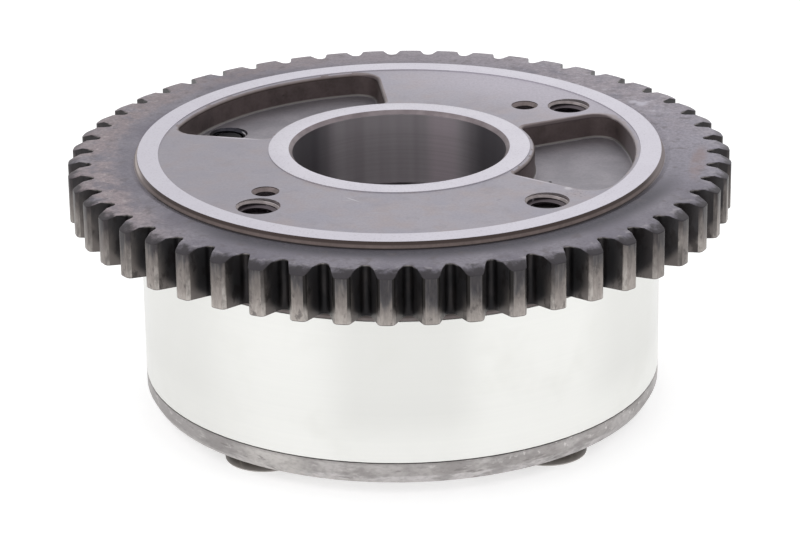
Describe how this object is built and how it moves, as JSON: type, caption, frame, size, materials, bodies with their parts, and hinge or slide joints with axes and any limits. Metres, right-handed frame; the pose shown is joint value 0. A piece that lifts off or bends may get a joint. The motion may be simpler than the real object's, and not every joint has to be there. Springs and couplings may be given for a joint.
{
  "type": "cam phaser",
  "caption": "Vane type camshaft phaser: a toothed chain sprocket bolted to a round housing, with a vane rotor inside that turns to shift the valve timing.",
  "frame": {"origin": "on the camshaft axis, in the plane of the four bolt heads that the part stands on", "axes": "+Z along the camshaft axis, from the bolt heads up to the sprocket; +X to the right and +Y away from the camera, as the picture shows the part"},
  "size_m": [0.102, 0.102, 0.0406],
  "materials": {
    "sprocket_steel": "sintered and steam treated, ground lands, worn dark teeth",
    "housing_aluminium": "fine turned, bright",
    "plate_steel": "pressed steel, bare, satin",
    "rotor_steel": "sintered, ground faces",
    "bolt_steel": "black phosphate",
    "pin_steel": "hardened and ground",
    "spring_steel": "drawn spring wire and strip",
    "seal_resin": "dark engineering resin"
  },
  "bodies": {
    "stator": {"sprocket": "sprocket_steel", "stator_housing": "housing_aluminium", "front_plate": "plate_steel", "lock_pin_bush": "pin_steel", "housing_bolt_1": "bolt_steel", "housing_bolt_2": "bolt_steel", "housing_bolt_3": "bolt_steel", "housing_bolt_4": "bolt_steel", "web_seal_1": "seal_resin", "web_seal_2": "seal_resin", "web_seal_3": "seal_resin", "web_seal_4": "seal_resin", "web_seal_spring_1": "spring_steel", "web_seal_spring_2": "spring_steel", "web_seal_spring_3": "spring_steel", "web_seal_spring_4": "spring_steel"},
    "rotor": {"vane_rotor": "rotor_steel", "lock_pin_spring_seat": "pin_steel", "lock_pin_spring": "spring_steel", "vane_seal_1": "seal_resin", "vane_seal_2": "seal_resin", "vane_seal_3": "seal_resin", "vane_seal_4": "seal_resin", "vane_seal_spring_1": "spring_steel", "vane_seal_spring_2": "spring_steel", "vane_seal_spring_3": "spring_steel", "vane_seal_spring_4": "spring_steel"},
    "lock_pin": {"lock_pin": "pin_steel"}
  },
  "joints": [
    {"name": "rotor_phase", "type": "hinge", "parent": "stator", "child": "rotor", "pos_m": [0, 0, 0.0168], "axis": [0, 0, 1], "range_deg": [0, 30]},
    {"name": "lock_pin_slide", "type": "slide", "parent": "rotor", "child": "lock_pin", "axis": [0, 0, 1], "range_m": [-0.001, 0], "stiffness_N_per_m": 1000, "deforming": ["lock_pin_spring"]}
  ]
}
